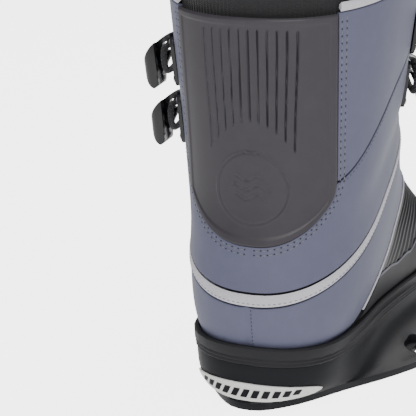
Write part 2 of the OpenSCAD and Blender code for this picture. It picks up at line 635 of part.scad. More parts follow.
// Normals carried along a path without twist
function carry(tangents, first) = [
    for (i = 0, v = first; i < len(tangents);
        i = i + 1, v = i < len(tangents) ? unit(v - tangents[i] * (v * tangents[i])) : v) v
];
module sweep(path, r, n, steps) {
    m = len(path);
    spine = concat([
        for (i = [0:m - 2], j = [0:steps - 1])
            blend4(path[max(i - 1, 0)], path[i], path[i + 1], path[min(i + 2, m - 1)], j / steps)
    ], [path[m - 1]]);
    count = len(spine);
    tangents = [for (i = [0:count - 1]) unit(spine[min(i + 1, count - 1)] - spine[max(i - 1, 0)])];
    normals = carry(tangents, unit(cross(tangents[0], abs(tangents[0][2]) < 0.8 ? [0, 0, 1] : [1, 0, 0])));
    ring_solid([for (i = [0:count - 1]) [for (j = [0:n - 1])
        let (a = 360 * j / n)
        spine[i] + r * (cos(a) * normals[i] + sin(a) * cross(tangents[i], normals[i]))]]);
}
module lace() color("#1a1b1f") {
    toe_bar = [for (t = [0:4]) loft(loop_ks[0] - 0.42, mix(loop_a + 5, 355 - loop_a, t / 4), loop_mid)];
    sweep(concat(reversed(strand(1, 3.2)), toe_bar, strand(-1, -2)), lace_r, 6, 1);
}

// Rounded block, w wide and h high, raised along x by deep
module block(w, h, deep, corner = 4) {
    rotate([90, 0, 90]) linear_extrude(deep) polygon([for (i = [0:47]) let (a = 7.5 * i)
        [w / 2 * signed_pow(cos(a), 2 / corner), h / 2 * signed_pow(sin(a), 2 / corner)]]);
}

cavity_in = 6;          // closed end of the lock's cavity, from its side
button_h = 9;
button_deep = 5.6;
spring_len = 6;
button_slack = 0.35;
module lock_body() color("#17181c") multmatrix(LOCK) difference() {
    block(lock_w, lock_h, lock_deep);
    for (y = [-1, 1]) translate([lock_mid, y * lace_gap, -20]) cylinder(h = 40, d = lace_d + 0.8, $fn = 40);
    translate([lock_mid - button_deep / 2 - button_slack, cavity_in - lock_w / 2, -button_h / 2 - button_slack])
        cube([button_deep + 2 * button_slack, lock_w, button_h + 2 * button_slack]);
    translate([lock_mid, 3 - lock_w / 2, 0]) rotate([-90, 0, 0]) cylinder(h = 6, d = 5.2, $fn = 40);
}

module lock_button() color("#5c6068") multmatrix(LOCK) difference() {
    translate([lock_mid - button_deep / 2, cavity_in - lock_w / 2 + button_travel + 0.4, -button_h / 2])
        cube([button_deep, lock_w - cavity_in + 2.4, button_h]);
    for (y = [-1, 1]) translate([0, y * lace_gap - lace_r - 0.5, -lace_r - 20])
        translate([lock_mid - lace_r - 0.4, 0, 0]) cube([lace_d + 0.8, lace_d + 1 + button_travel, 60]);
}

module lock_spring() color("#c9ccd2") multmatrix(LOCK) {
    turns = 4;
    start = 3.6 - lock_w / 2;
    run = cavity_in + button_travel - 3.6 - 0.3;
    sweep([for (i = [0:turns * 9]) [
        lock_mid + 1.8 * cos(40 * i), start + run * i / (turns * 9), 1.8 * sin(40 * i)
    ]], 0.35, 6, 1);
}

module lace_pull() color("#1f2024") multmatrix(PULL) difference() {
    block(pull_w, pull_h, pull_deep, 3);
    for (y = [-1, 1]) translate([pull_deep / 2, y * lace_gap, -20]) cylinder(h = 23.5, d = lace_d + 0.8, $fn = 40);
}

// ---- rear pull loop on the back of the collar ----
loop_w = 22;
loop_band = 1.8;
loop_high = 31;
loop_deep = 9;
knuckle_r = 3.4;
pin_r = 1.5;
PIN = loft(lining_top_k, 0, (lining_out + lining_in) / 2) + [0, 0, 6];
module along_x(w) translate([-w / 2, PIN[1], PIN[2]]) rotate([90, 0, 90]) linear_extrude(w) children();
module loop_anchor() color("#141418") {
    lug = 3;
    tab_a = 12;
    patch(function (s, t) [mix(14.75, lining_top_k + 0.12, s), mix(-tab_a, tab_a, t)], 5, 9,
        lining_in - 2.7, lining_in - 1.2);
    for (s = [-1, 1]) translate([s * (loop_w / 2 + 0.4 + lug / 2), 0, 0]) along_x(lug) union() {
        circle(r = knuckle_r, $fn = 48);
        translate([0, -4.6]) square([lining_t / 2 + 2.8, 5.6]);
    }
    along_x(loop_w + 2 * lug) circle(r = pin_r, $fn = 48);
}

module rear_loop() color("#151519") along_x(loop_w) difference() {
    union() {
        circle(r = knuckle_r, $fn = 48);
        difference() {
            strap(loop_deep / 2, loop_high);
            strap(loop_deep / 2 - loop_band, loop_high - loop_band);
        }
    }
    circle(r = pin_r + 0.07, $fn = 48);
}
// Upright profile, round at the top and narrow at the knuckle
module strap(r, top) {
    translate([0, top - r]) circle(r = r, $fn = 64);
    polygon([[-r, top - r], [-min(r, knuckle_r - 1.2), 2], [min(r, knuckle_r - 1.2), 2], [r, top - r]]);
}

// ---- the whole boot, moved from the heel's frame to the middle of the slots ----
module boot() translate([0, -wing_from_heel, 0]) children();
boot() {
    chassis();
    heel_inlay();
    chassis_screws();
    tee_nuts();
    mount_board();
    outsole();
    toe_cap();
    vamp();
    heel_counter();
    quarter();
    upper_quarter(1);  // upper_quarter_right
    upper_quarter(-1);  // upper_quarter_left
    spine_panel();
    heel_trim();
    side_trim(1);  // side_trim_right
    side_trim(-1);  // side_trim_left
    collar_trim(1);  // collar_trim_right
    collar_trim(-1);  // collar_trim_left
    eyestay(1);  // eyestay_right
    eyestay(-1);  // eyestay_left
    lining();
    footbed();
    tongue();
    tongue_guard();
    lace_loops(1);  // lace_loops_right
    lace_loops(-1);  // lace_loops_left
    hooks(1);  // hooks_right
    hooks(-1);  // hooks_left
    hook_rivets();
    lace();
    lock_body();
    lock_button();
    lock_spring();
    lace_pull();
    loop_anchor();
    rear_loop();
}
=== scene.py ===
import math

import bpy
from mathutils import Matrix, Vector
from mathutils.bvhtree import BVHTree


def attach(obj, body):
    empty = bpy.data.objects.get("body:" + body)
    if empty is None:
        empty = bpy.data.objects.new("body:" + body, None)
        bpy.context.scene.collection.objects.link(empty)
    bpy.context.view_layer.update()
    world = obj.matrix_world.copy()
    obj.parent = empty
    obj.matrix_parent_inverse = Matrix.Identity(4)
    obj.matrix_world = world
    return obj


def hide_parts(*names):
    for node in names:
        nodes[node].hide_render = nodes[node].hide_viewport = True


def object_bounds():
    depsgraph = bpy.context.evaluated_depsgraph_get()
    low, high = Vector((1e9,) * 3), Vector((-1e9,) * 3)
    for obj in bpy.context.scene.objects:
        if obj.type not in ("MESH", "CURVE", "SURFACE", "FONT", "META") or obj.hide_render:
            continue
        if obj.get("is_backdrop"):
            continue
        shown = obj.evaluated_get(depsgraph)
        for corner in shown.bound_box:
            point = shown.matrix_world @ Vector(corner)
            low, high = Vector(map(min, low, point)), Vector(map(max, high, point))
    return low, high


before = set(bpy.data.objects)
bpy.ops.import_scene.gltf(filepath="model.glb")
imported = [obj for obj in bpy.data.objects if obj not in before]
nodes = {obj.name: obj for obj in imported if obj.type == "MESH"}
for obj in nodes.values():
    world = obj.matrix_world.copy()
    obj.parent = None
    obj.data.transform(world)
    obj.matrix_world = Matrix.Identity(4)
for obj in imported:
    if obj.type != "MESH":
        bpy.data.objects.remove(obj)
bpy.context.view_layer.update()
bpy.ops.object.select_all(action="DESELECT")
print("frame loaded:", len(nodes), "nodes")

# The upper's loft, as in the part: back y, back z, front y, front z, half width, centre x, two squarenesses, mm
shape = {
    "stations": [
        (300, 33.8, 300, 41.8, 10, -8, 2.6, 2.2), (294, 22.8, 294, 59.8, 34, -7, 2.8, 2.2),
        (280, 17.8, 281, 73.8, 48, -5, 3, 2.3), (255, 17.8, 258, 85.8, 57, -3, 3, 2.3),
        (219.9, 17.8, 230.1, 100.9, 60, 0, 3, 2.3), (185.1, 17.8, 209.1, 116.9, 57, 2, 3, 2.3),
        (150, 17.8, 192.6, 133, 55, 2, 3, 2.4), (105, 17.8, 188, 149.8, 55, 1, 2.9, 2.5),
        (54.9, 17.8, 186, 165, 58, 0, 2.8, 2.6), (12, 27.8, 184, 178.9, 60.5, 0, 2.6, 2.8),
        (0, 61.9, 179, 190.9, 61, 0, 2.4, 2.9), (3, 94.9, 174, 203, 61.5, 0, 2.4, 2.9),
        (8, 130, 170, 218.2, 66, 0, 2.4, 2.9), (6, 169.9, 169, 236.9, 69, 0, 2.4, 2.9),
        (2, 210.1, 170, 259.9, 72.5, 0, 2.4, 2.9), (-2, 250, 173, 285, 76, 0, 2.4, 2.9),
        (-6, 275, 180, 310, 78, 0, 2.4, 2.9),
    ],
    "heelY": -190, "laceEdge": 162, "panel": 3, "collar": 15, "throat": 4.3,
}
# Seam lines: stations (0 toe, 15 collar) and section angles in degrees
seam = {"gap": 0.02, "frontHigh": 8.1, "frontLow": 6.3, "heelHigh": 10.2, "heelLow": 8.05, "corner": 12.2,
        "cornerHalf": 43, "topHalf": 38, "sideRise": 2.8, "bow": 0.85, "yokeTop": 13.1}
sides = (("Right", 1), ("Left", -1))


def mix(a, b, t):
    return a + (b - a) * t


def ease(t):
    t = min(max(t, 0), 1)
    return t * t * (3 - 2 * t)


def bump(d, width):
    return math.exp(-(d / width) ** 2)


def station(k):
    rows = shape["stations"]
    last = len(rows) - 1
    i = min(int(math.floor(k)), last - 1)
    f = k - i
    four = zip(rows[max(i - 1, 0)], rows[i], rows[i + 1], rows[min(i + 2, last)])
    return [0.5 * (2 * b + (c - a) * f + (2 * a - 5 * b + 4 * c - d) * f * f + (3 * b - a - 3 * c + d) * f ** 3)
            for a, b, c, d in four]


def signedPow(x, p):
    return math.copysign(abs(x) ** p, x)


def loft(k, angle, out=0.0):
    s = station(k)
    turn = math.radians(angle)
    run, rise = s[2] - s[0], s[3] - s[1]
    half = math.hypot(run, rise) / 2
    p = 2 / mix(s[6], s[7], (1 - math.cos(turn)) / 2)
    r = (half + out) * signedPow(math.cos(turn), p)
    x = s[5] + (s[4] + out) * signedPow(math.sin(turn), p)
    y = (s[0] + s[2]) / 2 - run / (2 * half) * r
    z = (s[1] + s[3]) / 2 - rise / (2 * half) * r
    return Vector((x, y + shape["heelY"], z)) / 1000


def outward(k, angle):
    along = loft(k + 0.05, angle) - loft(k - 0.05, angle)
    around = loft(k, angle + 0.5) - loft(k, angle - 0.5)
    return around.cross(along).normalized()


# Seam lines of the upper, as the part draws them
def frontSeam(a):
    return mix(seam["frontHigh"], seam["frontLow"], ease((abs(a) - 65) / 70))


def heelSeam(a):
    reach = shape["laceEdge"]
    return mix(seam["heelHigh"], seam["heelLow"], (min(abs(a), reach) / reach) ** 2.2)


def spineEdge(k):
    return mix(seam["cornerHalf"], seam["topHalf"], max(k - seam["corner"], 0) / seam["sideRise"])


def spineBottom(t):
    return seam["corner"] - seam["bow"] * math.sqrt(max(1 - t * t, 0))


def yokeSeam(a):
    f, half = abs(a), seam["cornerHalf"]
    return spineBottom(f / half) if f < half else mix(seam["corner"], seam["yokeTop"], ease((f - half) / 60))


def newGroup(name, inputs, outputs):
    group = bpy.data.node_groups.new(name, "ShaderNodeTree")
    for label, kind, value in inputs:
        socket = group.interface.new_socket(name=label, in_out="INPUT", socket_type=kind)
        socket.default_value = value
    for label, kind in outputs:
        group.interface.new_socket(name=label, in_out="OUTPUT", socket_type=kind)
    return group, group.nodes.new("NodeGroupInput"), group.nodes.new("NodeGroupOutput")


def addNode(tree, kind, **settings):
    node = tree.nodes.new(kind)
    for key, value in settings.items():
        setattr(node, key, value)
    return node


def mathNode(tree, operation, a, b=None, clamp=False):
    node = addNode(tree, "ShaderNodeMath", operation=operation, use_clamp=clamp)
    for slot, value in enumerate((a, b)):
        if value is None:
            continue
        if isinstance(value, (int, float)):
            node.inputs[slot].default_value = value
        else:
            tree.links.new(value, node.inputs[slot])
    return node.outputs[0]


# Texture scales and detail of the shared groups
texture = {"fineScale": 2600, "fineShare": 0.35, "weaveSpots": 300, "streaks": 120, "edge": (0.52, 0.62),
           "grit": (0.45, 0.75)}


def grainGroup():  # pebbled or smooth skin: a height, and a mask for tone
    g, i, o = newGroup("skinGrain", [("Cell", "NodeSocketFloat", 900.0), ("Cloud", "NodeSocketFloat", 14.0)],
                       [("Height", "NodeSocketFloat"), ("Tone", "NodeSocketFloat")])
    where = addNode(g, "ShaderNodeTexCoord")
    cells = addNode(g, "ShaderNodeTexVoronoi", feature="SMOOTH_F1")
    fine = addNode(g, "ShaderNodeTexNoise")
    cloud = addNode(g, "ShaderNodeTexNoise")
    fine.inputs["Scale"].default_value = texture["fineScale"]
    fine.inputs["Detail"].default_value = 2
    cloud.inputs["Detail"].default_value = 4
    for n in (cells, fine, cloud):
        g.links.new(where.outputs["Object"], n.inputs["Vector"])
    g.links.new(i.outputs["Cell"], cells.inputs["Scale"])
    g.links.new(i.outputs["Cloud"], cloud.inputs["Scale"])
    pebbles = mathNode(g, "MULTIPLY", fine.outputs["Fac"], texture["fineShare"])
    g.links.new(mathNode(g, "ADD", cells.outputs["Distance"], pebbles), o.inputs["Height"])
    g.links.new(cloud.outputs["Fac"], o.inputs["Tone"])
    return g


def weaveGroup():  # over-and-under threads along the piece's own UV, in metres
    g, i, o = newGroup("clothWeave", [("Across", "NodeSocketFloat", 900.0), ("Along", "NodeSocketFloat", 900.0)],
                       [("Height", "NodeSocketFloat"), ("Tone", "NodeSocketFloat")])
    where = addNode(g, "ShaderNodeTexCoord")
    parts = addNode(g, "ShaderNodeSeparateXYZ")
    g.links.new(where.outputs["UV"], parts.inputs[0])
    tau = 2 * math.pi
    u = mathNode(g, "MULTIPLY", mathNode(g, "MULTIPLY", parts.outputs["X"], i.outputs["Across"]), tau)
    v = mathNode(g, "MULTIPLY", mathNode(g, "MULTIPLY", parts.outputs["Y"], i.outputs["Along"]), tau)
    wave = mathNode(g, "MULTIPLY", mathNode(g, "SINE", u), mathNode(g, "SINE", v))
    g.links.new(mathNode(g, "ADD", mathNode(g, "MULTIPLY", wave, 0.5), 0.5), o.inputs["Height"])
    spots = addNode(g, "ShaderNodeTexNoise")
    spots.inputs["Scale"].default_value = texture["weaveSpots"]
    g.links.new(where.outputs["Object"], spots.inputs["Vector"])
    g.links.new(spots.outputs["Fac"], o.inputs["Tone"])
    return g


def wearGroup():  # lighter edges and a dusting of fine scuffs
    g, i, o = newGroup("edgeScuff", [("Scuff", "NodeSocketFloat", 0.3)], [("Mask", "NodeSocketFloat")])
    where = addNode(g, "ShaderNodeTexCoord")
    form = addNode(g, "ShaderNodeNewGeometry")
    streaks = addNode(g, "ShaderNodeTexNoise")
    streaks.inputs["Scale"].default_value = texture["streaks"]
    streaks.inputs["Detail"].default_value = 6
    g.links.new(where.outputs["Object"], streaks.inputs["Vector"])
    edge = addNode(g, "ShaderNodeMapRange")
    edge.inputs["From Min"].default_value, edge.inputs["From Max"].default_value = texture["edge"]
    g.links.new(form.outputs["Pointiness"], edge.inputs["Value"])
    grit = addNode(g, "ShaderNodeMapRange")
    grit.inputs["From Min"].default_value, grit.inputs["From Max"].default_value = texture["grit"]
    g.links.new(streaks.outputs["Fac"], grit.inputs["Value"])
    both = mathNode(g, "ADD", edge.outputs[0], grit.outputs[0], True)
    g.links.new(mathNode(g, "MULTIPLY", both, i.outputs["Scuff"], True), o.inputs["Mask"])
    return g


skinGrain, clothWeave, edgeScuff = grainGroup(), weaveGroup(), wearGroup()


# A finish runs from color to light; grain gives a skin's two scales, weave a cloth's threads a metre
def finish(name, color, light, rough, grain=None, weave=None, scuff=0.0, depth=0.0002, metal=0.0, sheen=0.0,
           strength=0.5, specular=0.5):
    mat = bpy.data.materials.new(name)
    mat.use_nodes = True
    tree = mat.node_tree
    skin = tree.nodes["Principled BSDF"]
    skin.inputs["Metallic"].default_value = metal
    skin.inputs["Sheen Weight"].default_value = sheen
    skin.inputs["Specular IOR Level"].default_value = specular
    pattern = addNode(tree, "ShaderNodeGroup", node_tree=clothWeave if weave else skinGrain)
    if weave:
        pattern.inputs["Across"].default_value, pattern.inputs["Along"].default_value = weave
    else:
        pattern.inputs["Cell"].default_value, pattern.inputs["Cloud"].default_value = grain
    tone = addNode(tree, "ShaderNodeMix", data_type="RGBA")
    tree.links.new(pattern.outputs["Tone"], tone.inputs["Factor"])
    tone.inputs["A"].default_value = (*color, 1)
    tone.inputs["B"].default_value = (*light, 1)
    worn = addNode(tree, "ShaderNodeMix", data_type="RGBA")
    scuffs = addNode(tree, "ShaderNodeGroup", node_tree=edgeScuff)
    scuffs.inputs["Scuff"].default_value = scuff
    tree.links.new(scuffs.outputs["Mask"], worn.inputs["Factor"])
    tree.links.new(tone.outputs["Result"], worn.inputs["A"])
    worn.inputs["B"].default_value = (*[min(1, c * 1.9 + 0.02) for c in light], 1)
    tree.links.new(worn.outputs["Result"], skin.inputs["Base Color"])
    shine = addNode(tree, "ShaderNodeMapRange")
    shine.inputs["To Min"].default_value = rough * 0.85
    shine.inputs["To Max"].default_value = min(1, rough * 1.2)
    tree.links.new(pattern.outputs["Tone"], shine.inputs["Value"])
    tree.links.new(shine.outputs[0], skin.inputs["Roughness"])
    relief = addNode(tree, "ShaderNodeBump")
    relief.inputs["Distance"].default_value = depth
    relief.inputs["Strength"].default_value = strength
    tree.links.new(pattern.outputs["Height"], relief.inputs["Height"])
    tree.links.new(relief.outputs["Normal"], skin.inputs["Normal"])
    return mat


greySkin = finish("greySkin", (0.093, 0.097, 0.155), (0.11, 0.114, 0.175), 0.48, (1500, 9), scuff=0.05,
                  depth=0.0001, specular=0.4)
spineSkin = finish("spineSkin", (0.028, 0.024, 0.03), (0.035, 0.031, 0.038), 0.42, (2200, 12), scuff=0.06,
                   depth=0.00006, specular=0.45)
ribSkin = finish("ribSkin", (0.010, 0.010, 0.012), (0.015, 0.015, 0.018), 0.36, (1800, 16), scuff=0.06,
                 depth=0.00006, specular=0.32)
soleSkin = finish("soleSkin", (0.010, 0.010, 0.012), (0.016, 0.016, 0.019), 0.5, (1300, 20), scuff=0.08,
                  depth=0.0001, specular=0.22)
chassisSkin = finish("chassisSkin", (0.008, 0.0085, 0.0105), (0.012, 0.0125, 0.015), 0.4, (1600, 10),
                     scuff=0.03, depth=0.00004, specular=0.14)
silverSkin = finish("silverSkin", (0.48, 0.465, 0.51), (0.6, 0.585, 0.64), 0.55, (620, 30), scuff=0.08,
                    depth=0.0004, strength=0.9)
knit = finish("ribKnit", (0.008, 0.008, 0.009), (0.014, 0.014, 0.016), 0.85, weave=(420, 640),
              depth=0.0003, sheen=0.2, strength=0.9)
tongueCloth = finish("tongueCloth", (0.016, 0.016, 0.019), (0.026, 0.026, 0.03), 0.8, weave=(500, 500),
                     depth=0.0003, sheen=0.2, strength=0.8)
webbing = finish("webbingBlack", (0.010, 0.010, 0.012), (0.018, 0.018, 0.021), 0.6, weave=(480, 320),
                 depth=0.0003, sheen=0.15, strength=0.9)
braid = finish("laceBraid", (0.012, 0.012, 0.014), (0.03, 0.03, 0.036), 0.55, weave=(420, 420),
               depth=0.0006, sheen=0.2, strength=1.0)
hookPlastic = finish("hookPlastic", (0.008, 0.008, 0.009), (0.011, 0.011, 0.013), 0.25, (1500, 10),
                     scuff=0.05, depth=0.00004)
lockPlastic = finish("lockPlastic", (0.016, 0.016, 0.018), (0.024, 0.024, 0.027), 0.5, (1700, 12),
                     depth=0.0001)
buttonPlastic = finish("buttonPlastic", (0.12, 0.125, 0.14), (0.15, 0.155, 0.17), 0.4, (1700, 12),
                       depth=0.00008)
inlayWhite = finish("inlayWhite", (0.74, 0.74, 0.72), (0.82, 0.82, 0.8), 0.35, (1500, 12), depth=0.00003)
steel = finish("zincSteel", (0.52, 0.52, 0.54), (0.62, 0.62, 0.64), 0.3, (2000, 60), metal=1.0,
               depth=0.00004)
boardFibre = finish("boardFibre", (0.2, 0.15, 0.09), (0.28, 0.21, 0.13), 0.8, (1200, 40), depth=0.0002)
footFoam = finish("footFoam", (0.03, 0.07, 0.11), (0.045, 0.095, 0.145), 0.8, (1000, 20), depth=0.0003)
# dark thread for the seams; the same dark colour is painted shade at the needle holes and the sole's notches
darkThreadAndShade = finish("darkThreadAndShade", (0.008, 0.008, 0.01), (0.014, 0.014, 0.016), 0.7, (3000, 60),
                    depth=0.0001)
threadGrey = finish("threadGrey", (0.13, 0.135, 0.16), (0.19, 0.195, 0.22), 0.7, (3000, 60), depth=0.0001)
print("materials made")


def only(obj):
    bpy.ops.object.select_all(action="DESELECT")
    obj.select_set(True)
    bpy.context.view_layer.objects.active = obj


def modify(obj, kind, **settings):
    mod = obj.modifiers.new(kind.lower(), kind)
    for key, value in settings.items():
        setattr(mod, key, value)
    only(obj)
    bpy.ops.object.modifier_apply(modifier=mod.name)


def smooth(obj, angle=38):
    only(obj)
    bpy.ops.object.shade_smooth_by_angle(angle=math.radians(angle))


def named(obj, name):
    obj.name = obj.data.name = name
    return obj


def joined(pieces, name):
    only(pieces[0])
    for piece in pieces:
        piece.select_set(True)
    bpy.ops.object.join()
    return named(bpy.context.active_object, name)


def dress(obj, material, body="boot", stands=()):
    obj.data.materials.clear()
    obj.data.materials.append(material)
    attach(obj, body)
    if stands:
        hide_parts(*stands)
    return obj


def fromNode(name, nodeName, bevel=0.0, segments=2, subdivide=0, angle=38, woven=False):
    obj = nodes[nodeName].copy()
    obj.data = nodes[nodeName].data.copy()
    for key in list(obj.keys()):
        del obj[key]
    obj.parent = None
    named(obj, name)
    bpy.context.scene.collection.objects.link(obj)
    only(obj)
    bpy.ops.object.mode_set(mode="EDIT")
    bpy.ops.mesh.select_all(action="SELECT")
    bpy.ops.mesh.remove_doubles(threshold=0.000005)
    bpy.ops.mesh.tris_convert_to_quads(face_threshold=math.radians(35), shape_threshold=math.radians(60))
    bpy.ops.object.mode_set(mode="OBJECT")
    if obj.data.has_custom_normals:
        bpy.ops.mesh.customdata_custom_splitnormals_clear()
    if woven:
        bpy.ops.object.mode_set(mode="EDIT")
        bpy.ops.mesh.select_all(action="SELECT")
        bpy.ops.uv.cube_project(cube_size=1, scale_to_bounds=False)
        bpy.ops.object.mode_set(mode="OBJECT")
    if bevel:
        modify(obj, "BEVEL", width=bevel, segments=segments, limit_method="ANGLE", angle_limit=math.radians(50),
               use_clamp_overlap=True)
    if subdivide:
        modify(obj, "SUBSURF", levels=subdivide, render_levels=subdivide)
    smooth(obj, angle)
    return obj


# A piece whose shape is the node's own, with its edges rolled
def carry(name, nodeName, material, slotName, body="boot", **settings):
    return dress(fromNode(name, nodeName, **settings), material, body, stands=[nodeName])


# A panel is a grid laid on the loft: place(s, t) gives its station and angle, relief(s, t, k, a) its height in mm
def panel(name, rows, cols, place, out, thick, relief=None, bevel=0.0006):
    bpy.ops.mesh.primitive_grid_add(x_subdivisions=cols, y_subdivisions=rows, size=1)
    obj = named(bpy.context.active_object, name)
    for v in obj.data.vertices:
        s, t = v.co.y + 0.5, v.co.x + 0.5
        k, a = place(s, t)
        v.co = loft(k, a, out + (relief(s, t, k, a) if relief else 0))
    width = sum((loft(*place(0.5, (i + 1) / 20)) - loft(*place(0.5, i / 20))).length for i in range(20))
    height = sum((loft(*place((i + 1) / 20, 0.5)) - loft(*place(i / 20, 0.5))).length for i in range(20))
    for corner in obj.data.uv_layers.active.data:
        corner.uv = (corner.uv[0] * width, corner.uv[1] * height)
    obj.data.update()
    middle = place(0.5, 0.5)
    face = min(obj.data.polygons, key=lambda f: (f.center - loft(*middle, out)).length)
    if face.normal.dot(outward(*middle)) < 0:
        obj.data.flip_normals()
    modify(obj, "SOLIDIFY", thickness=thick / 1000, offset=-1, use_even_offset=False)
    if bevel:
        modify(obj, "BEVEL", width=bevel, segments=3, limit_method="ANGLE", angle_limit=math.radians(55))
    smooth(obj)
    return obj


def around(t):
    return mix(-shape["laceEdge"], shape["laceEdge"], t)


# Stitches: one thread lump, copied along a line on the loft
stitch = {"length": 2.7, "width": 0.75, "thick": 0.8, "pitch": 4.4, "sink": 0.15}


def stitchRow(name, line, out, material, pitch=stitch["pitch"], length=stitch["length"],
              width=stitch["width"], start=0.5, steps=240):
    bpy.ops.mesh.primitive_uv_sphere_add(segments=8, ring_count=6, radius=0.5)
    lump = bpy.context.active_object
    lump.data.transform(Matrix.Diagonal((length / 1000, width / 1000, width * stitch["thick"] / 1000, 1)))
    spots = [line(i / steps) for i in range(steps + 1)]
    if isinstance(spots[0][0], Vector):
        points, ups = zip(*spots)
    else:
        points, ups = [loft(k, a, out) for k, a in spots], [outward(k, a) for k, a in spots]
    copies, run, nextAt = [], 0.0, start * pitch / 1000
    for i in range(steps):
        step = (points[i + 1] - points[i]).length
        while run + step >= nextAt and step > 0:
            f = (nextAt - run) / step
            along = (points[i + 1] - points[i]).normalized()
            up = ups[i]
            side = up.cross(along).normalized()
            up = along.cross(side)
            turn = Matrix((along, side, up)).transposed().to_4x4()
            turn.translation = points[i].lerp(points[i + 1], f) - up * stitch["sink"] / 1000
            one = lump.copy()
            one.data = lump.data.copy()
            one.data.transform(turn)
            bpy.context.scene.collection.objects.link(one)
            copies.append(one)
            nextAt += pitch / 1000
        run += step
    bpy.data.objects.remove(lump)
    row = joined(copies, name)
    bpy.ops.object.shade_smooth()
    return dress(row, material)


# Grooves above a ring, on a panel with a raised rim, in mm
spine = {"grooves": 11, "pitch": 6.0, "grooveWide": 0.5, "grooveDeep": 1.0, "topZ": 244, "ringZ": 143.7,
         "ringRadius": 22.7, "footZ": 185.5, "footDrop": 18.2, "lineWide": 0.5, "lineDeep": 0.45, "rim": 5.5,
         "waves": (-6, 0, 6), "waveHigh": 1.8, "waveLong": 2.4, "waveHalf": 13, "proud": 1.0, "thick": 3.6}


def spineRelief(s, t, k, a):
    p = loft(k, a) * 1000
    x, z = p.x, p.z
    w = 2 * t - 1
    edge = min((1 - abs(w)) * 50, (k - spineBottom(w)) * 33 + 0.2, (shape["collar"] - k) * 40)
    h = 0.6 * ease((spine["rim"] - edge) / 1.2 + 0.5) - 1.1 * bump(edge, 0.9)
    column = x / (spine["pitch"] * mix(0.9, 1, ease((z - 165) / 80)))
    nearest = round(column)
    if abs(nearest) <= spine["grooves"] // 2:
        foot = spine["footZ"] - spine["footDrop"] * (x / 27) ** 2
        fade = ease((z - foot) / 2) * ease((spine["topZ"] - z) / 2)
        h -= spine["grooveDeep"] * bump((column - nearest) * spine["pitch"], spine["grooveWide"]) * fade
        h += 0.25 * bump((column - nearest) * spine["pitch"] - 1.1, 0.5) * fade
    r = math.hypot(x, z - spine["ringZ"])
    h -= spine["lineDeep"] * bump(r - spine["ringRadius"], spine["lineWide"])
    h += 0.3 * bump(r - spine["ringRadius"] - 1.1, 0.5)
    for level in spine["waves"]:  # plain waves inside the ring
        crest = spine["ringZ"] + level + spine["waveHigh"] * math.sin(x / spine["waveLong"])
        line = bump(z - crest, spine["lineWide"]) - 0.6 * bump(z - crest - 1.1, 0.5)
        h -= spine["lineDeep"] * line * ease((spine["waveHalf"] - abs(x) - abs(level) * 0.3) / 1.2)
    return h


def spinePlace(s, t):
    w = mix(-1, 1, t)
    k = mix(spineBottom(w), shape["collar"], s)
    return k, w * spineEdge(k)


spinePanel = panel("spinePanel", 200, 226, spinePlace, spine["proud"], spine["thick"], spineRelief, bevel=0)
dress(spinePanel, spineSkin, stands=["spine_panel"])
print("spine panel made")

gap = seam["gap"]
trim = {"proud": 0.7, "thick": 3.5, "heelWide": 0.27, "sideWide": 0.17, "start": 62, "collarProud": 0.4,
        "collarThick": 3.3, "collarStart": 39.6}
heel = {"creaseDeep": 0.9, "creaseWide": 0.7}  # the seam down the middle of the heel
vamp = {"ribs": 11, "ribHigh": 0.5, "ribStart": 38}


# A panel that goes all round, between two seams
def bandPlace(low, high):
    return lambda s, t: (mix(low(around(t)), high(around(t)), s), around(t))


def heelCrease(s, t, k, a):
    return -heel["creaseDeep"] * bump(loft(k, a).x * 1000, heel["creaseWide"]) if abs(a) < 12 else 0


def vampRibs(s, t, k, a):
    wave = vamp["ribHigh"] * math.sin(2 * math.pi * s * vamp["ribs"])
    return wave * ease(s * 8) * ease((1 - s) * 8) * ease((abs(a) - vamp["ribStart"]) / 8)


quarterBand = bandPlace(lambda a: heelSeam(a) + trim["heelWide"] + gap, lambda a: yokeSeam(a) - gap)
quarterPanel = panel("quarterPanel", 44, 150, quarterBand, 0, shape["panel"])
dress(quarterPanel, greySkin, stands=["quarter"])
heelBand = bandPlace(lambda a: frontSeam(a) + trim["sideWide"] + gap, lambda a: heelSeam(a) - gap)
heelCounter = panel("heelCounter", 50, 150, heelBand, 0, shape["panel"], heelCrease)
dress(heelCounter, greySkin, stands=["heel_counter"])
vampBand = bandPlace(lambda a: shape["throat"] + gap, lambda a: frontSeam(a) - gap)
vampPanel = panel("vampPanel", 110, 150, vampBand, 0, shape["panel"], vampRibs)
dress(vampPanel, ribSkin, stands=["vamp"])
for sideName, side in sides:
    def upperPlace(s, t, side=side):
        low = mix(seam["cornerHalf"] + 0.6, shape["laceEdge"], t)
        k = mix(yokeSeam(low) + gap, shape["collar"], s)
        return k, side * mix(spineEdge(k) + 0.6, shape["laceEdge"], t)
    upperQuarter = panel("upperQuarter" + sideName, 60, 70, upperPlace, 0, shape["panel"])
    dress(upperQuarter, greySkin, stands=["upper_quarter_" + sideName.lower()])
carry("toeCap", "toe_cap", ribSkin, "vamp_skin", bevel=0.0004, subdivide=2, angle=45)
print("panels made")


def softEdge(s, t, k, a):
    return -0.6 * bump(min(s, 1 - s) * 8, 0.8)


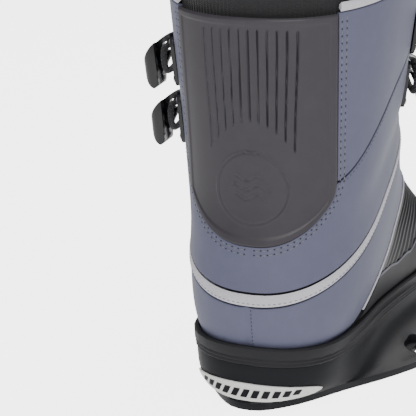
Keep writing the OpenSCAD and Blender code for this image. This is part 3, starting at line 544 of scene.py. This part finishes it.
trimBand = bandPlace(lambda a: heelSeam(a) + gap, lambda a: heelSeam(a) + trim["heelWide"] - gap)
heelTrim = panel("heelTrim", 12, 220, trimBand, trim["proud"], trim["thick"], softEdge, bevel=0)
dress(heelTrim, silverSkin, stands=["heel_trim"])
for sideName, side in sides:
    def sidePlace(s, t, side=side):
        a = mix(trim["start"], shape["laceEdge"], t)
        return mix(frontSeam(a) + gap, frontSeam(a) + trim["sideWide"] - gap, s), side * a
    sideTrim = panel("sideTrim" + sideName, 10, 120, sidePlace, trim["proud"], trim["thick"], softEdge, bevel=0)
    dress(sideTrim, silverSkin, stands=["side_trim_" + sideName.lower()])

    def collarPlace(s, t, side=side):
        return mix(15.02, 15.2, s), side * mix(trim["collarStart"], shape["laceEdge"], t)
    collarTrim = panel("collarTrim" + sideName, 10, 100, collarPlace, trim["collarProud"], trim["collarThick"],
                       softEdge, bevel=0)
    dress(collarTrim, silverSkin, stands=["collar_trim_" + sideName.lower()])

# Black foxing over the lower vamp, with a thin piping on its top edge; tops are stations and angles
foxing = {"low": 47, "tops": [(4.3, 92), (5.3, 89), (5.8, 84), (6.7, 79), (7.6, 78), (8.2, 76)], "proud": 0.8,
          "start": 4.34, "end": 8.05, "thick": 0.75, "pipingThick": 1.2, "pipingWide": (-0.4, 1.0)}


def foxingTop(k):
    tops = foxing["tops"]
    for (k0, a0), (k1, a1) in zip(tops, tops[1:]):
        if k <= k1:
            return mix(a0, a1, ease((k - k0) / (k1 - k0)))
    return tops[-1][1]


for sideName, side in sides:
    def foxingPlace(s, t, side=side):
        a = mix(foxing["low"], foxingTop(mix(foxing["start"], foxing["end"], s)), t)
        k = mix(foxing["start"], min(frontSeam(a) - 0.03, foxing["end"]), s)
        return k, side * mix(foxing["low"], foxingTop(k), t)
    foxingBand = panel("foxing" + sideName, 90, 16, foxingPlace, foxing["proud"], foxing["thick"], bevel=0)
    dress(foxingBand, soleSkin)

    def pipingPlace(s, t, side=side):
        k = mix(4.4, 7.95, s)
        return k, side * (foxingTop(k) + mix(*foxing["pipingWide"], t))
    piping = panel("piping" + sideName, 90, 6, pipingPlace, foxing["proud"] + 0.5, foxing["pipingThick"],
                   lambda s, t, k, a: -0.5 * (2 * t - 1) ** 2, bevel=0)
    dress(piping, threadGrey)
print("trims made")

# Two rows round the spine panel, one row along each trim and seam
for sideName, side in sides:
    for rowName, shift in (("Inner", 2.6), ("Outer", 5.6)):
        def spineLine(t, side=side, shift=shift):
            # round the panel's foot, then up its side to the collar
            if t < 0.3:
                turn = math.radians(mix(2, 90, t / 0.3))
                spread = seam["cornerHalf"] + shift / 1.15
                drop = (seam["bow"] + shift / 35) * math.cos(turn)
                return seam["corner"] - drop, side * spread * math.sin(turn)
            k = mix(seam["corner"], 14.93, (t - 0.3) / 0.7)
            return k, side * (spineEdge(k) + shift / 1.15)
        ending = rowName + sideName
        stitchRow("spineStitch" + ending, spineLine, 0.15, threadGrey, length=2.4, width=0.8)
        # dark lumps at the needle holes between the grey stitches are painted shade of the holes; no hole is cut
        # in the panel
        stitchRow("spineHoleShade" + ending, spineLine, 0.0, darkThreadAndShade, length=1.3, width=1.1, start=0)
    stitchRow("sideStitch" + sideName,
              lambda t, side=side: (frontSeam(mix(64, 158, t)) + 0.05, side * mix(64, 158, t)), 0.75, threadGrey,
              pitch=3.4, length=2.2, width=0.6)
    stitchRow("yokeStitch" + sideName,
              lambda t, side=side: (yokeSeam(mix(47, 160, t)) - 0.07, side * mix(47, 160, t)), 0.1, darkThreadAndShade,
              pitch=3.0, length=1.9, width=0.45)
stitchRow("heelStitch", lambda t: (heelSeam(around(mix(0.01, 0.99, t))) + 0.085, around(mix(0.01, 0.99, t))),
          0.8, threadGrey, pitch=3.4, length=2.2, width=0.6, steps=400)
stitchRow("heelSeamStitch", lambda t: (mix(9.46, 10.17, t), 1.6), 0.1, darkThreadAndShade, pitch=2.6,
          length=1.5, width=0.5)
print("stitches made")

carry("outsoleCup", "outsole", soleSkin, "sole_rubber", bevel=0.0005)
carry("chassisShell", "chassis", chassisSkin, "chassis_plastic", bevel=0.0007, segments=3)
inlay = carry("heelInlay", "heel_inlay", inlayWhite, "inlay_plastic", bevel=0.0002)
# The sole's stitch line: where it starts and ends, the rim's height in mm, and its two rows
rand = {"start": 2.0, "end": 9.38, "rimZ": 42.0, "pitch": 15.5,
        "rows": (("Upper", 34.4, 1.2, 0.2), ("Lower", 31.2, 0.9, 0.6))}


def rimAngle(k):  # the section angle at which the upper goes into the sole
    low, high = 5.0, 110.0
    for _ in range(24):
        middle = (low + high) / 2
        low, high = (middle, high) if loft(k, middle).z * 1000 < rand["rimZ"] else (low, middle)
    return low


def rimSpot(t, z, out):
    # round the heel from the right forefoot to the left one
    side = 1 if t < 0.5 else -1
    k = mix(rand["start"], rand["end"], math.sin(math.pi * t))
    p = loft(k, side * rimAngle(k))
    ahead = k + 0.02 * side
    along = loft(ahead, side * rimAngle(ahead)) - p
    along.z = 0
    up = Vector((along.y, -along.x, 0)).normalized()
    if up.dot(Vector((p.x, p.y + 0.13, 0))) < 0:
        up = -up
    return Vector((p.x, p.y, z / 1000)) + up * out / 1000, up


for rowName, z, out, start in rand["rows"]:
    # dark lumps at the notches between the mock stitches are painted shade of the notches; no notch is cut into
    # the sole
    stitchRow("soleNotchShade" + rowName, lambda t, z=z, out=out: rimSpot(mix(0.02, 0.98, t), z, out), 0, darkThreadAndShade,
              pitch=rand["pitch"], length=4.2, width=1.5, start=start, steps=500)
    stitchRow("soleThread" + rowName, lambda t, z=z, out=out: rimSpot(mix(0.02, 0.98, t), z, out - 0.25), 0,
              soleSkin, pitch=rand["pitch"], length=11.5, width=1.0, start=start + 0.5, steps=500)

# Slanted windows in the crescent, a plain repeated pattern
window = {"half": 5, "spread": 6.6, "reach": 0.74, "low": 0.42, "curve": 0.25, "wide": 0.62, "lean": 0.3,
          "tall": 0.62, "step": 7.6, "proud": 0.00025, "centerY": -0.14}
inlayTree = BVHTree.FromPolygons([v.co.copy() for v in inlay.data.vertices],
                                 [list(f.vertices) for f in inlay.data.polygons])
inlayLow = min(v.co.z for v in inlay.data.vertices)
inlayHigh = max(v.co.z for v in inlay.data.vertices)
windows = []
for i in range(-window["half"], window["half"] + 1):
    bpy.ops.mesh.primitive_grid_add(x_subdivisions=4, y_subdivisions=3, size=1)
    pane = bpy.context.active_object
    reach = window["reach"] * math.sqrt(max(1 - (i / window["spread"]) ** 2, 0))
    middle = mix(inlayLow, inlayHigh, window["low"] + window["curve"] * (i / window["spread"]) ** 2)
    for v in pane.data.vertices:
        turn = math.radians((i + window["wide"] * v.co.x + window["lean"] * v.co.y) * window["step"])
        z = middle + v.co.y * reach * (inlayHigh - inlayLow) * window["tall"]
        aim = Vector((math.sin(turn), -math.cos(turn), 0))
        origin = Vector((0, window["centerY"], z)) + aim * 0.12
        hit = inlayTree.ray_cast(origin, -aim)[0]
        v.co = (hit + aim * window["proud"]) if hit else origin - aim * 0.3
    center = window["centerY"]  # a pane that misses the crescent at a corner is left out
    if any((v.co - Vector((0, center, v.co.z))).length > 0.1 or v.co.y > center for v in pane.data.vertices):
        bpy.data.objects.remove(pane)
        continue
    windows.append(pane)
inlayWindows = joined(windows, "inlayWindows")
modify(inlayWindows, "SOLIDIFY", thickness=0.0003, offset=0)
dress(inlayWindows, chassisSkin)
print("sole details made")

carry("mountBoard", "mount_board", boardFibre, "board", bevel=0.0003)
carry("chassisScrews", "chassis_screws", steel, "screw_steel", bevel=0.0002)
carry("teeNuts", "tee_nuts", steel, "nut_steel", bevel=0.0002)

lining = {"out": -4.1, "thick": 7, "open": 144, "ribs": 0.5, "ribEvery": 1.05}
quilt = {"out": -4.4, "thick": 6.6, "channels": 15, "deep": 0.9, "wide": 0.12, "slant": 0.6}


def liningRelief(s, t, k, a):
    fade = ease((k - 13.9) / 0.2) * ease((15.3 - k) / 0.1)
    return lining["ribs"] * fade * (0.5 * math.cos(2 * math.pi * a / lining["ribEvery"]) - 0.5)


def quiltRelief(s, t, k, a):
    off = abs(t - 0.5)
    line = bump((s * quilt["channels"] + quilt["slant"] * off) % 1 - 0.5, quilt["wide"])
    return -quilt["deep"] * line * ease(s * 12) * ease((1 - s) * 12) * ease((0.46 - off) * 30)


liner = panel("liningSleeve", 70, 420,
              lambda s, t: (mix(4.0, 15.35, s), mix(-lining["open"], lining["open"], t)),
              lining["out"], lining["thick"], liningRelief, bevel=0.0016)
toeLiner = panel("liningToe", 16, 90, lambda s, t: (mix(0.85, 4.02, s), mix(-180, 180, t)), lining["out"],
                 lining["thick"], bevel=0)
dress(liner, knit, stands=["lining"])
dress(toeLiner, knit)
insole = carry("footbedPad", "footbed", footFoam, "footbed_foam", bevel=0.001, segments=3)
tongue = panel("tonguePad", 150, 60, lambda s, t: (mix(4.45, 15.55, s), mix(150, 210, t)), quilt["out"],
               quilt["thick"], quiltRelief, bevel=0.0012)
dress(tongue, tongueCloth, stands=["tongue"])
carry("tongueGuard", "tongue_guard", ribSkin, "guard_rubber", bevel=0.0003)
print("inside made")

for sideName in ("Right", "Left"):
    low = "_" + sideName.lower()
    carry("eyestay" + sideName, "eyestay" + low, spineSkin, "spine_tpu", bevel=0.0003)
    carry("laceLoops" + sideName, "lace_loops" + low, webbing, "webbing", bevel=0.0002, woven=True)
    carry("laceHooks" + sideName, "hooks" + low, hookPlastic, "hook_plastic", bevel=0.0006, segments=3)
carry("hookRivets", "hook_rivets", steel, "rivet_steel", bevel=0.0002)
lace = fromNode("laceRun", "lace", subdivide=2, angle=80, woven=True)
modify(lace, "DISPLACE", strength=0.0003, mid_level=0)  # puts back the girth that the subdivision took
dress(lace, braid, stands=["lace"])
carry("laceLock", "lock_body", lockPlastic, "lock_plastic", bevel=0.0005, segments=3)
carry("lockButton", "lock_button", buttonPlastic, "button_plastic", "button", bevel=0.0003)
carry("lacePull", "lace_pull", soleSkin, "pull_rubber", bevel=0.0004)
carry("loopAnchor", "loop_anchor", webbing, "webbing", bevel=0.0003, woven=True)
carry("pullLoop", "rear_loop", webbing, "webbing", "pull_loop", bevel=0.0003, woven=True)
print("hardware made")

# Floor, light and camera
studio = {"paper": 0.86, "paperGlow": 0.8, "viewGlow": 3.2, "world": 0.38, "target": (0, -0.05, 0.14),
          "lamps": (("keyLamp", (0.15, -1.7, 1.0), 0.55, 15), ("fillLamp", (1.2, -0.7, 0.9), 1.0, 4),
                    ("rimLamp", (0.3, 1.2, 1.1), 0.8, 9)),
          "camera": (0.308, -0.977, 0.359), "tilt": 75, "turn": 23, "lens": 123.1}
bpy.ops.mesh.primitive_plane_add(size=6, location=(0, 0, 0))
floor = bpy.context.active_object
floor.name = "floor"
paper = bpy.data.materials.new("paper")
paper.use_nodes = True
sheetTree = paper.node_tree
surface = sheetTree.nodes["Principled BSDF"]
surface.inputs["Base Color"].default_value = (*[studio["paper"]] * 3, 1)
surface.inputs["Roughness"].default_value = 0.9
surface.inputs["Emission Color"].default_value = (1, 1, 1, 1)
rays = addNode(sheetTree, "ShaderNodeLightPath")
glow = addNode(sheetTree, "ShaderNodeMath", operation="MULTIPLY_ADD")
glow.inputs[1].default_value = studio["viewGlow"]
glow.inputs[2].default_value = studio["paperGlow"]
sheetTree.links.new(rays.outputs["Is Camera Ray"], glow.inputs[0])
sheetTree.links.new(glow.outputs[0], surface.inputs["Emission Strength"])
floor.data.materials.append(paper)
floor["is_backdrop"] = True
world = bpy.data.worlds.new("studio")
world.use_nodes = True
world.node_tree.nodes["Background"].inputs["Color"].default_value = (1, 1, 1, 1)
world.node_tree.nodes["Background"].inputs["Strength"].default_value = studio["world"]
bpy.context.scene.world = world
for lampName, spot, size, watts in studio["lamps"]:
    lamp = bpy.data.objects.new(lampName, bpy.data.lights.new(lampName, "AREA"))
    lamp.data.size = size
    lamp.data.energy = watts
    lamp.location = spot
    lamp.rotation_euler = (Vector(studio["target"]) - Vector(spot)).to_track_quat("-Z", "Y").to_euler()
    bpy.context.scene.collection.objects.link(lamp)
view = bpy.data.objects.new("camera", bpy.data.cameras.new("camera"))
view.location = studio["camera"]
view.rotation_euler = (math.radians(studio["tilt"]), 0, math.radians(studio["turn"]))
view.data.lens = studio["lens"]
view.data.sensor_width = 36
bpy.context.scene.collection.objects.link(view)
bpy.context.scene.camera = view
print("stage made")

low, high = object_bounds()
